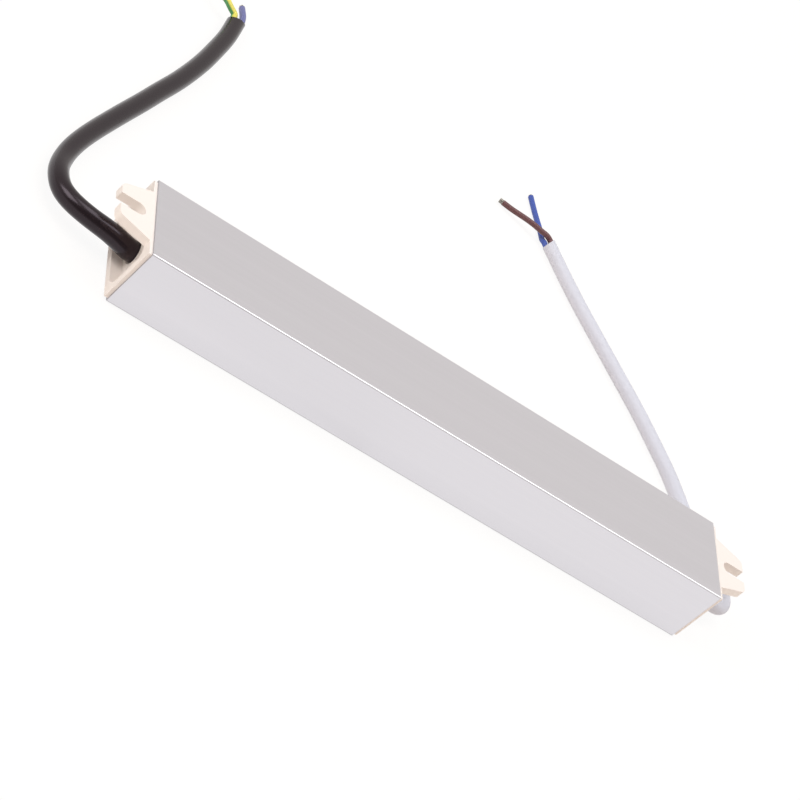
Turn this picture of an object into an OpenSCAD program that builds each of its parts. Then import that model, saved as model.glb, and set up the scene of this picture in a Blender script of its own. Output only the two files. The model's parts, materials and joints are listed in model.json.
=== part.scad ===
// LED driver: an aluminium tube with a moulded cap and a round lead at each end.
// Millimetres. X runs along the tube from the mains end to the output end, Z is up,
// and the origin is at the middle of the tube's underside.

/* [Housing tube] */
// Length of the aluminium tube
housing_l = 200; // [180:1:320]
// Width of the tube
housing_w = 30; // [28:0.5:44]
// Height of the tube
housing_h = 20.5; // [19.5:0.5:32]
// Wall thickness of the extrusion
housing_wall = 1.5; // [1.2:0.1:2]
// Radius of the tube's four long outside edges
housing_edge_r = 0.5; // [0.4:0.1:1.4]

/* [End caps] */
// How far the cap's flange stands out of the tube
flange_t = 1; // [0.8:0.1:3]
// How far the flange lies inside the tube's outline
flange_inset = 0.5; // [0.3:0.1:1.1]
// Length of the skirt that plugs into the tube
skirt_l = 8; // [7:0.5:14]
// Gap between the skirt and the tube, on each side
skirt_gap = 0.1; // [0.05:0.05:0.2]
// Depth of the lead recess below the flange
recess_d = 3.6; // [3:0.1:5.5]
// Width of the rim beside the recess, from the flange's edge
recess_rim = 2; // [1.5:0.1:3]
// Width of the rim below the recess, from the flange's edge
recess_low_rim = 1.9; // [1.4:0.1:3]
// Radius of the recess's lower corners
recess_low_r = 3.5; // [1:0.5:5]
// Radius of the recess's upper corners
recess_top_r = 3; // [0.5:0.5:4]
// Thickness of the recess floor
cap_floor_t = 1.5; // [1:0.1:2]
// Wall of the skirt inside the tube
skirt_wall = 1.4; // [1:0.1:2]
// Wall of the collar that grips the lead behind the floor
collar_wall = 1.2; // [0.8:0.1:1.6]

/* [Fixing tabs] */
// Length of the tab from the tube's end
tab_l = 10.8; // [10:0.1:20]
// Thickness of the tab
tab_t = 2.7; // [1.6:0.1:3.5]
// Width of the tab where it leaves the cap
tab_root_w = 20; // [16:0.5:24]
// Width of the tab at its tip
tab_tip_w = 12; // [10:0.5:16]
// Radius of the tab's outer tip corners
tab_corner_r = 2; // [0.5:0.1:2.2]
// Width of the open screw slot
slot_w = 4.2; // [4.2:0.1:5.5]
// Place of the slot's closed end, from the tube's end
slot_end = 3; // [2:0.5:5]

/* [Leads] */
// Diameter of the mains lead
mains_d = 5.8; // [5:0.1:7]
// Diameter of the output lead
output_d = 4.7; // [4:0.1:6.5]
// Diameter of each mains core
mains_core_d = 2; // [1.6:0.1:2.3]
// Diameter of each output core
output_core_d = 1.8; // [1.4:0.1:2]
// Height of both lead bores above the tube's underside
lead_z = 7; // [6.5:0.1:9]
// Gap between a lead and its bore, on each side
lead_gap = 0.1; // [0.05:0.05:0.2]
// Bevel at the mouth of each lead bore
lead_bevel = 0.6; // [0.2:0.1:0.9]

/* [Circuit board] */
// Thickness of the board
board_t = 1.6; // [1:0.1:2]
// Height of the board's underside above the tube's underside
board_z = 4.2; // [3.6:0.1:5]
// Gap between the board's long edges and the liner
board_side_gap = 0.3; // [0.2:0.1:1]
// Gap between the board and the caps, end to end
board_end_gap = 0.3; // [0.2:0.1:0.6]
// Half width of the notch that each lead passes through
board_notch = 5; // [4.5:0.1:6]
// Thickness of the insulating film
liner_t = 0.4; // [0.3:0.1:0.6]
// Gap between the film and the tube's side and top walls
liner_gap = 0.1; // [0.05:0.05:0.3]

/* [Parts on the board] */
// Gap kept above the tall parts
top_gap = 0.7; // [0.5:0.1:1.5]
// Diameter of a part's wire leg
leg_d = 0.8; // [0.6:0.1:1]
// Length of the bulk capacitor's can
bulk_l = 24; // [16:1:26]
// Length of an output capacitor's can
output_cap_l = 16; // [10:1:18]
// Diameter of an output capacitor's can
output_cap_d = 10; // [6.3:0.1:11]
// Length of the mains filter capacitor
x_cap_l = 18; // [13:1:19]
// Thickness of the mains filter capacitor
x_cap_t = 7; // [5:0.5:8]
// Outside diameter of the mains filter choke
line_choke_d = 12; // [10:0.5:12]
// Side of the transformer's core, seen from above
core_side = 20; // [16:0.5:21]
// Thickness of the transformer's core
core_t = 6; // [4:0.5:7]

/* [Hidden] */

$fn = 48;
// Overshoot of a cut past the face that it opens
cut = 0.5;

// Inside of the tube
tube_w = housing_w - 2 * housing_wall;
tube_h = housing_h - 2 * housing_wall;
tube_end = housing_l / 2;

// Cap levels, measured along X from the tube's end, outwards
recess_floor = flange_t - recess_d;
cap_inside = recess_floor - cap_floor_t;
flange_top = housing_h - flange_inset;
recess_w = housing_w - 2 * (flange_inset + recess_rim);
recess_low = flange_inset + recess_low_rim;
recess_top = flange_top - tab_t;
skirt_w = tube_w - 2 * skirt_gap;
skirt_h = tube_h - 2 * skirt_gap;
skirt_low = housing_wall + skirt_gap;
// Shelves in the caps that carry the board's ends
shelf_in = 1.2;
shelf_t = 1.2;

// Board levels and outline
board_top = board_z + board_t;
liner_w = tube_w - 2 * liner_gap;
liner_h = tube_h - liner_gap;
liner_l = housing_l - 2 * skirt_l - 2 * board_end_gap;
board_w = liner_w - 2 * liner_t - 2 * board_side_gap;
board_l = housing_l - 2 * skirt_l - 2 * board_end_gap;
tongue_w = skirt_w - 2 * skirt_wall - 2 * board_side_gap;
tongue_end = tube_end + cap_inside - board_end_gap;
// Depth of the lead notch behind the cap's skirt
notch_depth = 5.5;
headroom = housing_wall + liner_h - liner_t - board_top;
tall = headroom - top_gap;
// Parts stand in two rows, one on each side of the board's middle
row_y = board_w / 4;
bulk_d = min(tall, board_w / 2 - top_gap);
// How high a part that stands on wire legs is held off the board
stand_off = 0.4;

// Routes of the leads. Each point is the distance out of the recess floor along the lead's
// exit, the place across the tube and the height of the lead's underside above the floor.
lead_inside = 7.5;
mains_route = [
    [-lead_inside, 0, undef], [0, 0, undef], [1, 0, undef], [4, 0.8, 4.2], [8, 2.1, 4.2],
    [12, 3.2, 3.9], [16, 4.8, 3.4], [19.5, 7.2, 2.7], [22, 10.5, 2], [23.1, 14.8, 1.4],
    [23.1, 19, 0.8], [22.1, 24, 0.2], [20.3, 29.5, 0], [17.5, 35.8, 0], [13.7, 42.9, 0],
    [8.6, 51.6, 0], [3.4, 60.2, 0], [-1.8, 68.7, 0], [-6.9, 77.3, 0], [-12.1, 85.9, 0],
    [-16.9, 94.6, 0], [-21.4, 103.6, 0], [-25.4, 112.7, 0], [-29.1, 122, 0], [-31.9, 131.1, 0]
];
output_route = [
    [-lead_inside, 0, undef], [0, 0, undef], [8, 0, undef], [13.5, 0, 3.9], [17.2, 0.8, 3.5],
    [19.2, 3.4, 3.3], [19.6, 7.5, 3], [18.9, 12.5, 2.6], [17.3, 18, 1.7], [15.3, 23, 1],
    [13.2, 28, 0.4], [11.3, 33, 0.1], [9.4, 39, 0], [7, 45.4, 0], [4.4, 51.6, 0], [1.3, 57.5, 0],
    [-5.4, 69.2, 0], [-12.6, 80.1, 0], [-20, 91.1, 0], [-27.4, 102.2, 0], [-34.4, 114.1, 0],
    [-39.3, 123.3, 0]
];
// Routes of the cores past the jacket's end: ahead of it, to its left, and height above the floor.
// A core's first two points keep the jacket's direction, so that their faces meet.
live_route = [
    [0, 0.2, 1.5], [1, 0.2, 1.5], [2.2, 0.6, 1.3], [3.4, 1.1, 1.2]
];
neutral_route = [
    [0, -1.4, 3.2], [1, -1.4, 3.2], [3.6, -0.9, 3.4], [6.3, 0, 3.2], [9.1, 0.9, 2.8]
];
earth_route = [
    [0, 1.6, 3.6], [1, 1.6, 3.6], [1.7, 3.8, 4.3], [2.3, 5.8, 4.9], [3.7, 8.6, 4.6],
    [6.5, 11.5, 3.2], [10, 14.5, 1.6]
];
plus_route = [
    [0, -0.7, 2.95], [0.8, -0.7, 2.95], [2.1, 0.3, 3.4], [3.6, 1.9, 3.4], [5.4, 3.3, 3.2],
    [7.4, 5, 2.9], [10, 7.4, 2.3], [12.6, 9.7, 1.6], [16.1, 12.6, 1]
];
minus_route = [
    [0, 0.8, 1.6], [0.8, 0.8, 1.6], [2.4, 0.3, 1.1], [4, -0.3, 0.95], [6.3, -1.1, 0.95],
    [10, -2, 0.95], [14, -3, 0.95], [20.6, -5, 0.95]
];
// Core tails on the board: their run along it, and for each one where it starts, across and above
// the lead's middle, and where it ends across the board
tail_run = 5;
live_tail = [0, -1.2, 0];
neutral_tail = [1.1, 0.7, 4];
earth_tail = [-1.1, 0.7, -4];
plus_tail = [0.95, 0, 3];
minus_tail = [-0.95, 0, -3];

// General shapes

function unit(v) = v / norm(v);

// Rounds one corner of an outline: where the arc starts and ends, and its centre
function corner(pts, r, i) =
    let (
        n = len(pts),
        u = unit(pts[(i + n - 1) % n] - pts[i]),
        v = unit(pts[(i + 1) % n] - pts[i]),
        half = acos(u * v) / 2
    )
    [pts[i] + u * r / tan(half), pts[i] + v * r / tan(half), pts[i] + unit(u + v) * r / sin(half)];

// Convex outline with a true arc at each corner whose radius is over nought
module rounded_outline(pts, radii) {
    last = len(pts) - 1;
    polygon([for (i = [0:last]) each radii[i] > 0
        ? [corner(pts, radii[i], i)[0], corner(pts, radii[i], i)[1]]
        : [pts[i]]]);
    for (i = [0:last]) {
        if (radii[i] > 0) {
            translate(corner(pts, radii[i], i)[2]) circle(radii[i]);
        }
    }
}

// Upright rectangle in the tube's section, centred across, standing on height low
module section(w, low, high, low_r, top_r) {
    rounded_outline(
        [[-w / 2, low], [w / 2, low], [w / 2, high], [-w / 2, high]],
        [low_r, low_r, top_r, top_r]
    );
}

// Extrudes a section of the tube along X, between two places
module along_x(from, to) {
    translate([from, 0, 0]) rotate([90, 0, 90]) linear_extrude(to - from) children();
}

// Turns a shape that stands along Z so that it lies along X, from x = 0
module lying() {
    rotate([0, 90, 0]) children();
}

module box(x, y, z) {
    translate([-x / 2, -y / 2, 0]) cube([x, y, z]);
}

// Places a part on the board: station from -1 to 1 along it, row from -1 to 1 across it
module on_board(station, row) {
    translate([station * board_l / 2, row * row_y, board_top]) children();
}

// Round wire leg that stands on the board
module leg(x, y, height) {
    translate([x, y, 0]) cylinder(d = leg_d, h = height);
}

// Tubes that follow a route

function ahead_at(route, i) = unit(route[min(i + 1, len(route) - 1)] - route[max(i - 1, 0)]);

function ring(at, ahead, up, r, sides) =
    let (side = unit(cross(ahead, up)), top = cross(side, ahead))
    [for (k = [0:sides - 1]) at + r * (cos(360 * k / sides) * side + sin(360 * k / sides) * top)];

// Tube of one diameter along a route, with a flat face at each end
module swept_tube(route, d, sides, up = [0, 0, 1]) {
    last = len(route) - 1;
    rings = [for (i = [0:last]) each ring(route[i], ahead_at(route, i), up, d / 2, sides)];
    walls = [for (i = [0:last - 1], k = [0:sides - 1])
        let (next = (k + 1) % sides, a = i * sides, b = (i + 1) * sides)
        each [[a + k, a + next, b + next], [a + k, b + next, b + k]]];
    start_face = [for (k = [sides - 1:-1:0]) k];
    end_face = [for (k = [0:sides - 1]) last * sides + k];
    polyhedron(points = rings, faces = concat([start_face], walls, [end_face]));
}

// Lead route in the part's frame. way is -1 for the mains end and 1 for the output end.
function lead_points(route, d, way) = [for (p = route) [
    way * (tube_end + recess_floor + p[0]),
    p[1],
    is_undef(p[2]) ? lead_z : d / 2 + p[2]
]];

// Core route in the part's frame, carried on from a lead's last two points
function core_points(route, lead) =
    let (
        last = len(lead) - 1,
        ahead = unit(lead[last] - lead[last - 1]),
        left = [-ahead[1], ahead[0], 0]
    )
    [for (p = route) [lead[last][0], lead[last][1], 0] + p[0] * ahead + p[1] * left + [0, 0, p[2]]];

// Short run of a core from the lead's inner end down to the board
function tail_points(tail, way) =
    let (start = tube_end + recess_floor - lead_inside)
    [
        [way * start, tail[0], lead_z + tail[1]],
        [way * (start - 1.5), tail[0], lead_z + tail[1]],
        [way * (start - tail_run), tail[2], board_top + 1.6],
        [way * (start - tail_run), tail[2], board_top]
    ];

module core(route, tail, lead, d, way) {
    swept_tube(core_points(route, lead), d, 8);
    swept_tube(tail_points(tail, way), d, 8, up = [0, 1, 0]);
}

// Housing and caps

module housing() {
    color("silver") along_x(-tube_end, tube_end) difference() {
        section(housing_w, 0, housing_h, housing_edge_r, housing_edge_r);
        section(tube_w, housing_wall, housing_wall + tube_h, 0, 0);
    }
}

// Plan of the forked tab, from the tube's end outwards
module tab_plan() {
    root = tab_root_w / 2;
    tip = tab_tip_w / 2;
    difference() {
        rounded_outline(
            [[0, -root], [tab_l, -tip], [tab_l, tip], [0, root]],
            [0, tab_corner_r, tab_corner_r, 0]
        );
        translate([slot_end + slot_w / 2, 0]) circle(d = slot_w);
        translate([slot_end + slot_w / 2, -slot_w / 2]) square([tab_l, slot_w]);
    }
}

// Cap at the +X end. Its parts are measured from the tube's end.
module end_cap(lead_d) {
    translate([tube_end, 0, 0]) difference() {
        union() {
            difference() {
                union() {
                    along_x(0, flange_t)
                        section(housing_w - 2 * flange_inset, flange_inset, flange_top, 0.6, 0.6);
                    along_x(-skirt_l, 0) section(skirt_w, skirt_low, skirt_low + skirt_h, 0.5, 0.5);
                }
                along_x(recess_floor, flange_t + cut)
                    section(recess_w, recess_low, recess_top, recess_low_r, recess_top_r);
                along_x(-skirt_l - cut, cap_inside)
                    section(skirt_w - 2 * skirt_wall, skirt_low + skirt_wall,
                        skirt_low + skirt_h - skirt_wall, 0, 0);
            }
            translate([0, 0, recess_top]) linear_extrude(tab_t) tab_plan();
            translate([-skirt_l, 0, lead_z]) lying()
                cylinder(d = lead_d + 2 * lead_gap + 2 * collar_wall, h = skirt_l + cap_inside);
            for (side = [-1, 1]) {
                board_shelf(side);
            }
        }
        translate([-skirt_l - cut, 0, lead_z]) lying()
            cylinder(d = lead_d + 2 * lead_gap, h = 2 * skirt_l);
        translate([recess_floor - lead_bevel, 0, lead_z]) lying()
            cylinder(
                d1 = lead_d + 2 * lead_gap,
                d2 = lead_d + 2 * lead_gap + 4 * lead_bevel,
                h = 2 * lead_bevel
            );
    }
}

// Shelf on the skirt's inner wall, under one of the board's tongues
module board_shelf(side) {
    outer = skirt_w / 2 - skirt_wall;
    translate([-skirt_l, side > 0 ? outer - shelf_in : -outer, board_z - shelf_t])
        cube([skirt_l + cap_inside, shelf_in, shelf_t]);
}

module input_end_cap() {
    color("ivory") rotate([0, 0, 180]) end_cap(mains_d);
}

module output_end_cap() {
    color("ivory") end_cap(output_d);
}

module insulation_liner() {
    color("whitesmoke") along_x(-liner_l / 2, liner_l / 2) difference() {
        section(liner_w, housing_wall, housing_wall + liner_h, 0, 0);
        section(liner_w - 2 * liner_t, housing_wall + liner_t, housing_wall + liner_h - liner_t, 0, 0);
    }
}

module circuit_board() {
    color("darkgreen") translate([0, 0, board_z]) linear_extrude(board_t) difference() {
        union() {
            square([board_l, board_w], center = true);
            square([2 * tongue_end, tongue_w], center = true);
        }
        for (way = [-1, 1]) {
            translate([way * tongue_end, 0])
                square([2 * (tongue_end - board_l / 2 + notch_depth), 2 * board_notch], center = true);
        }
    }
}

// Parts on the board, from the mains end to the output end

module fuse() {
    body_d = 4;
    body_l = 9;
    cap_l = 2;
    glass_d = 3.4;
    color("lightgray") on_board(-0.81, -1) translate([-body_l / 2, 0, stand_off + body_d / 2]) {
        lying() cylinder(d = glass_d, h = body_l);
        for (x = [0, body_l - cap_l]) {
            translate([x, 0, 0]) lying() cylinder(d = body_d, h = cap_l);
            translate([x + cap_l / 2, 0, -stand_off - body_d / 2]) cylinder(d = leg_d, h = body_d / 2);
        }
    }
}

// Coated disc on two wire legs, standing along the tube
module disc_part(disc_d, disc_t, leg_pitch) {
    lift = 1.2;
    translate([0, disc_t / 2, lift + disc_d / 2]) rotate([90, 0, 0]) cylinder(d = disc_d, h = disc_t);
    for (x = [-leg_pitch / 2, leg_pitch / 2]) {
        leg(x, 0, lift + disc_d / 2);
    }
}

module varistor() {
    color("royalblue") on_board(-0.81, 1) disc_part(min(10, tall - 1.2), 4, 5);
}

module x_capacitor() {
    color("gold") on_board(-0.615, -1) box(x_cap_l, x_cap_t, tall - 0.5);
}

// Ring core on a flat header, wound on two opposite sides
module line_choke() {
    header_t = 1.2;
    core_d = line_choke_d - 2;
    core_h = 5;
    ring_w = 2.6;
    wire_t = 0.9;
    wound_angle = 130;
    color("seagreen") on_board(-0.62, 1) {
        box(line_choke_d, line_choke_d, header_t);
        translate([0, 0, header_t + wire_t]) {
            rotate_extrude() translate([core_d / 2 - ring_w, 0]) square([ring_w, core_h]);
            for (turn = [0, 180]) {
                rotate([0, 0, turn - wound_angle / 2]) rotate_extrude(angle = wound_angle)
                    translate([core_d / 2 - ring_w - wire_t, -wire_t])
                        square([ring_w + 2 * wire_t, core_h + 2 * wire_t]);
            }
        }
    }
}

// Moulded block with a row of flat legs along each long side
module leaded_block(l, w, h, legs, pitch) {
    leg_w = 0.6;
    leg_t = 0.25;
    foot = 0.9;
    lift = 0.3;
    translate([0, 0, lift]) box(l, w, h);
    for (i = [0:legs - 1], side = [-1, 1]) {
        x = (i - (legs - 1) / 2) * pitch;
        translate([x, side * (w / 2 + foot / 2), 0]) box(leg_w, foot, lift + h / 2);
        translate([x, side * (w / 2 - leg_t), 0]) box(leg_w, 2 * leg_t, lift + h / 2);
    }
}

module bridge_rectifier() {
    color("dimgray") on_board(-0.415, -1) leaded_block(8.4, 6.2, 3, 2, 5);
}

// Electrolytic can that lies along the tube, with a crimp near its legs
module can_capacitor(can_d, can_l) {
    r = can_d / 2;
    crimp = 0.5;
    crimp_at = 2.5;
    crimp_w = 1;
    edge = 0.6;
    leg_out = 1.2;
    translate([-can_l / 2, 0, stand_off + r]) lying() rotate_extrude() polygon([
        [0, 0], [r - edge, 0], [r, edge], [r, crimp_at], [r - crimp, crimp_at + crimp_w / 2],
        [r, crimp_at + crimp_w], [r, can_l - edge], [r - edge, can_l], [0, can_l]
    ]);
    for (y = [-r / 2, r / 2]) {
        translate([-can_l / 2 - leg_out, y, stand_off + r]) lying() cylinder(d = leg_d, h = leg_out + edge);
        leg(-can_l / 2 - leg_out, y, stand_off + r);
    }
}

module bulk_capacitor() {
    color("midnightblue") on_board(-0.36, 1) can_capacitor(bulk_d, bulk_l);
}

// Film resistor with swollen ends, along the tube
module power_resistor() {
    body_l = 9;
    end_r = 1.8;
    waist_r = 1.5;
    end_l = 1.8;
    color("tan") on_board(-0.265, -1) {
        translate([-body_l / 2, 0, stand_off + end_r]) lying() rotate_extrude() polygon([
            [0, 0], [end_r, 0], [end_r, end_l], [waist_r, end_l + 0.5], [waist_r, body_l - end_l - 0.5],
            [end_r, body_l - end_l], [end_r, body_l], [0, body_l]
        ]);
        for (x = [-body_l / 2 + end_l / 2, body_l / 2 - end_l / 2]) {
            leg(x, 0, stand_off + end_r);
        }
    }
}

module controller_chip() {
    color("darkslategray") on_board(-0.145, -1) leaded_block(4.9, 3.9, 1.4, 4, 1.27);
}

// Power package that lies flat: a metal tab with a hole, a moulded body and three legs
module power_package() {
    tab = 6.3;
    body = 9.2;
    width = 10;
    tab_plate_t = 1.3;
    body_t = 4.4;
    hole_d = 3.6;
    leg_l = 3;
    leg_pitch = 2.54;
    leg_side = 0.8;
    start = -(tab + body) / 2;
    translate([start, 0, 0]) difference() {
        translate([0, -width / 2, 0]) cube([tab + body, width, tab_plate_t]);
        translate([tab / 2, 0, -cut]) cylinder(d = hole_d, h = tab_plate_t + 2 * cut);
    }
    translate([start + tab, -width / 2, 0]) cube([body, width, body_t]);
    for (i = [-1:1]) {
        translate([start + tab + body - leg_side, i * leg_pitch - leg_side / 2, 0])
            cube([leg_l, leg_side, body_t / 2]);
    }
}

module switching_transistor() {
    color("gray") on_board(-0.1, 1) power_package();
}

// Ferrite frame seen from above: two windows beside a middle leg that runs along the tube
module transformer_core() {
    color("dimgray") on_board(0.15, 0) translate([0, 0, core_low()]) linear_extrude(core_t) difference() {
        square([core_side, core_side], center = true);
        for (side = [-1, 1]) {
            translate([0, side * (core_leg() / 2 + core_window() / 2)])
                square([core_side - 2 * core_back(), core_window()], center = true);
        }
    }
}

function core_back() = core_side * 0.15;
function core_leg() = core_side * 0.25;
function core_window() = (core_side - 2 * core_back() - core_leg()) / 2;
function winding_t() = (tall - 0.4 - core_t) / 2;
function core_low() = winding_t();

// Wound bobbin round the core's middle leg, with a pin rail under each end of the core
module transformer_bobbin() {
    fit = 0.15;
    rail_w = core_back();
    color("goldenrod") on_board(0.15, 0) {
        difference() {
            box(core_side - 2 * core_back() - 2 * fit,
                core_leg() + 2 * (core_window() - fit),
                core_t + 2 * winding_t());
            translate([0, 0, core_low() - fit])
                box(core_side, core_leg() + 2 * fit, core_t + 2 * fit);
        }
        for (side = [-1, 1]) {
            translate([side * (core_side / 2 - rail_w / 2), 0, 0])
                box(rail_w, core_side * 0.8, core_low());
            translate([side * (core_side / 2 - rail_w - fit), 0, 0])
                box(2 * fit + 1, core_leg(), core_low() - fit);
        }
    }
}

module optocoupler() {
    color("black") on_board(0.36, -1) leaded_block(4.6, 6.2, 3.2, 2, 2.54);
}

module y_capacitor() {
    color("steelblue") on_board(0.35, 1) disc_part(8, 3.5, 5);
}

module output_rectifier() {
    color("gray") on_board(0.54, -1) power_package();
}

module output_capacitor_1() {
    color("navy") on_board(0.52, 1) can_capacitor(output_cap_d, output_cap_l);
}

module output_capacitor_2() {
    color("navy") on_board(0.745, 1) can_capacitor(output_cap_d, output_cap_l);
}

// Drum core with its winding between two flanges
module output_choke() {
    drum_r = 4.7;
    wound_r = 4.1;
    flange = 1.2;
    drum_h = 9;
    color("darkorange") on_board(0.76, -1) rotate_extrude() polygon([
        [0, 0], [drum_r, 0], [drum_r, flange], [wound_r, flange], [wound_r, drum_h - flange],
        [drum_r, drum_h - flange], [drum_r, drum_h], [0, drum_h]
    ]);
}

// Leads and their cores

mains_points = lead_points(mains_route, mains_d, -1);
output_points = lead_points(output_route, output_d, 1);

module mains_lead() {
    color("black") swept_tube(mains_points, mains_d, 12);
}

module mains_live_core() {
    color("saddlebrown") core(live_route, live_tail, mains_points, mains_core_d, -1);
}

module mains_neutral_core() {
    color("mediumblue") core(neutral_route, neutral_tail, mains_points, mains_core_d, -1);
}

module mains_earth_core() {
    color("yellowgreen") core(earth_route, earth_tail, mains_points, mains_core_d, -1);
}

module output_lead() {
    color("white") swept_tube(output_points, output_d, 12);
}

module output_plus_core() {
    color("saddlebrown") core(plus_route, plus_tail, output_points, output_core_d, 1);
}

module output_minus_core() {
    color("mediumblue") core(minus_route, minus_tail, output_points, output_core_d, 1);
}

housing();
input_end_cap();
output_end_cap();
insulation_liner();
circuit_board();
fuse();
varistor();
x_capacitor();
line_choke();
bridge_rectifier();
bulk_capacitor();
power_resistor();
controller_chip();
switching_transistor();
transformer_core();
transformer_bobbin();
optocoupler();
y_capacitor();
output_rectifier();
output_capacitor_1();
output_capacitor_2();
output_choke();
mains_lead();
mains_live_core();
mains_neutral_core();
mains_earth_core();
output_lead();
output_plus_core();
output_minus_core();
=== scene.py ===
"""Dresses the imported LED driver: leads, tube, end caps, the parts inside it and a plain studio."""

import json
import logging
import math
from dataclasses import dataclass, field
from enum import Enum

import bmesh
import bpy
import numpy as np
from mathutils import Matrix, Vector


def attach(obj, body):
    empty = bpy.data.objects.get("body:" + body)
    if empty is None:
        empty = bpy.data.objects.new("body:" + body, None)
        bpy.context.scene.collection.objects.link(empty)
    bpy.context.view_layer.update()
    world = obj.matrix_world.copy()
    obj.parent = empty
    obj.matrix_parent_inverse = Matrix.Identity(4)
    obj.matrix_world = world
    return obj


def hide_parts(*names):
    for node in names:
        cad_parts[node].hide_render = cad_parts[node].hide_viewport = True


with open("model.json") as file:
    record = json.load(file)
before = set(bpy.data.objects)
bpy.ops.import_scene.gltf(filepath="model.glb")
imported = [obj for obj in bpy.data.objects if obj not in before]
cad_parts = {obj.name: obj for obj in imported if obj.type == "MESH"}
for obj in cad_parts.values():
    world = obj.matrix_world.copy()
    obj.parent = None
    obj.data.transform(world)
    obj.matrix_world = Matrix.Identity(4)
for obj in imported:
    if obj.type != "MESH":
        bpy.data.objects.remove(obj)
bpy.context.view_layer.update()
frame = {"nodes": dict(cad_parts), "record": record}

LOG = logging.getLogger("led_driver")
MM = 0.001
BODY = "root"

# Sockets of a Mix node that mixes colours
MIX_SHARE, MIX_FIRST, MIX_SECOND, MIX_RESULT = 0, 6, 7, 2

# Noise of a finish, and the broader noise, at a share of its grain, that is added on a drawn surface
FINE_NOISE = {"Scale": 1.0, "Detail": 3.0, "Roughness": 0.6}
BROAD_NOISE = {"Scale": 1.0, "Detail": 2.0, "Roughness": 0.5}
BROAD_SHARE = (0.6, 0.22, 0.22)
COAT_ROUGHNESS = 0.2

# Where the painted shade on the tube's lower edges, against the floor, and on its cut ends, in the joint
# with the caps, begins and ends, in metres, and how rough its cuts are
LOW_EDGE_SHADE = (0.0003, 0.0006)
CUT_END = (0.09988, 0.09996)
CUT_ROUGHNESS = 0.6

# Where a core's stripe gives way to its main colour, as a share of its radius
STRIPE_EDGE = (-0.55, -0.2)

Rgb = tuple[float, float, float]
Point = tuple[float, float, float]


def tone(red: int, green: int, blue: int) -> Rgb:
    """Turns a colour as a screen shows it into the linear colour that a shader takes.

    Args:
        red: Red from 0 to 255.
        green: Green from 0 to 255.
        blue: Blue from 0 to 255.

    Returns:
        The three linear values from 0 to 1.
    """
    def linear(value: int) -> float:
        """Undoes the screen's sRGB curve for one value."""
        share = value / 255
        return share / 12.92 if share <= 0.04045 else ((share + 0.055) / 1.055) ** 2.4
    return linear(red), linear(green), linear(blue)


# Finishes


class Pattern(Enum):
    """How a finish varies over the surface."""

    GRAIN = "grain"
    # A drawn finish also carries painted shade on its lower edges and cut ends.
    DRAWN = "drawn lines along the tube"
    STRIPED = "two stripes along a core"


class Graph:
    """A node tree with short ways to add and join nodes."""

    def __init__(self, tree: bpy.types.NodeTree) -> None:
        """Keeps the tree and empties it."""
        self.tree = tree
        tree.nodes.clear()

    def add(self, kind: str, settings: dict | None = None, values: dict | None = None) -> bpy.types.Node:
        """Adds a node.

        Args:
            kind: The node's type name.
            settings: Properties of the node.
            values: Values for its input sockets, by name or number.

        Returns:
            The new node.
        """
        node = self.tree.nodes.new(kind)
        for name, value in (settings or {}).items():
            setattr(node, name, value)
        for name, value in (values or {}).items():
            node.inputs[name].default_value = value
        return node

    def join(self, source: bpy.types.NodeSocket, target: bpy.types.NodeSocket) -> None:
        """Links an output socket to an input socket."""
        self.tree.links.new(source, target)

    def math(self, kind: str, *inputs: bpy.types.NodeSocket | float) -> bpy.types.NodeSocket:
        """Adds a Math node.

        Args:
            kind: The operation.
            inputs: Sockets to link or numbers to set, in order.

        Returns:
            The node's output socket.
        """
        node = self.add("ShaderNodeMath", {"operation": kind})
        for i, value in enumerate(inputs):
            if isinstance(value, (int, float)):
                node.inputs[i].default_value = value
            else:
                self.join(value, node.inputs[i])
        return node.outputs[0]

    def ramp(
        self, source: bpy.types.NodeSocket, span: tuple[float, float],
        goal: tuple[float, float] = (0.0, 1.0), smooth: bool = False,
    ) -> bpy.types.NodeSocket:
        """Adds a Map Range node, which turns one span of values into another.

        Args:
            source: The value.
            span: The two ends of the values that come in.
            goal: What those two ends become.
            smooth: Whether the change is eased at both ends.

        Returns:
            The node's output socket.
        """
        kind = "SMOOTHSTEP" if smooth else "LINEAR"
        node = self.add("ShaderNodeMapRange", {"interpolation_type": kind}, {
            "From Min": span[0], "From Max": span[1], "To Min": goal[0], "To Max": goal[1],
        })
        self.join(source, node.inputs["Value"])
        return node.outputs[0]

    def mix(
        self, share: bpy.types.NodeSocket, first: bpy.types.NodeSocket | Rgb, second: Rgb,
    ) -> bpy.types.NodeSocket:
        """Adds a node that mixes two colours.

        Args:
            share: The share of the second colour.
            first: The first colour, or a socket that gives it.
            second: The second colour.

        Returns:
            The node's output socket.
        """
        node = self.add("ShaderNodeMix", {"data_type": "RGBA"})
        self.join(share, node.inputs[MIX_SHARE])
        if isinstance(first, bpy.types.NodeSocket):
            self.join(first, node.inputs[MIX_FIRST])
        else:
            node.inputs[MIX_FIRST].default_value = (*first, 1)
        node.inputs[MIX_SECOND].default_value = (*second, 1)
        return node.outputs[MIX_RESULT]

    def blend(self, *inputs: bpy.types.NodeSocket) -> bpy.types.NodeSocket:
        """Adds a node that mixes two shaders.

        Args:
            inputs: The share of the second shader, the first shader and the second one.

        Returns:
            The node's output socket.
        """
        node = self.add("ShaderNodeMixShader")
        for source, target in zip(inputs, node.inputs):
            self.join(source, target)
        return node.outputs[0]


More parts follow.
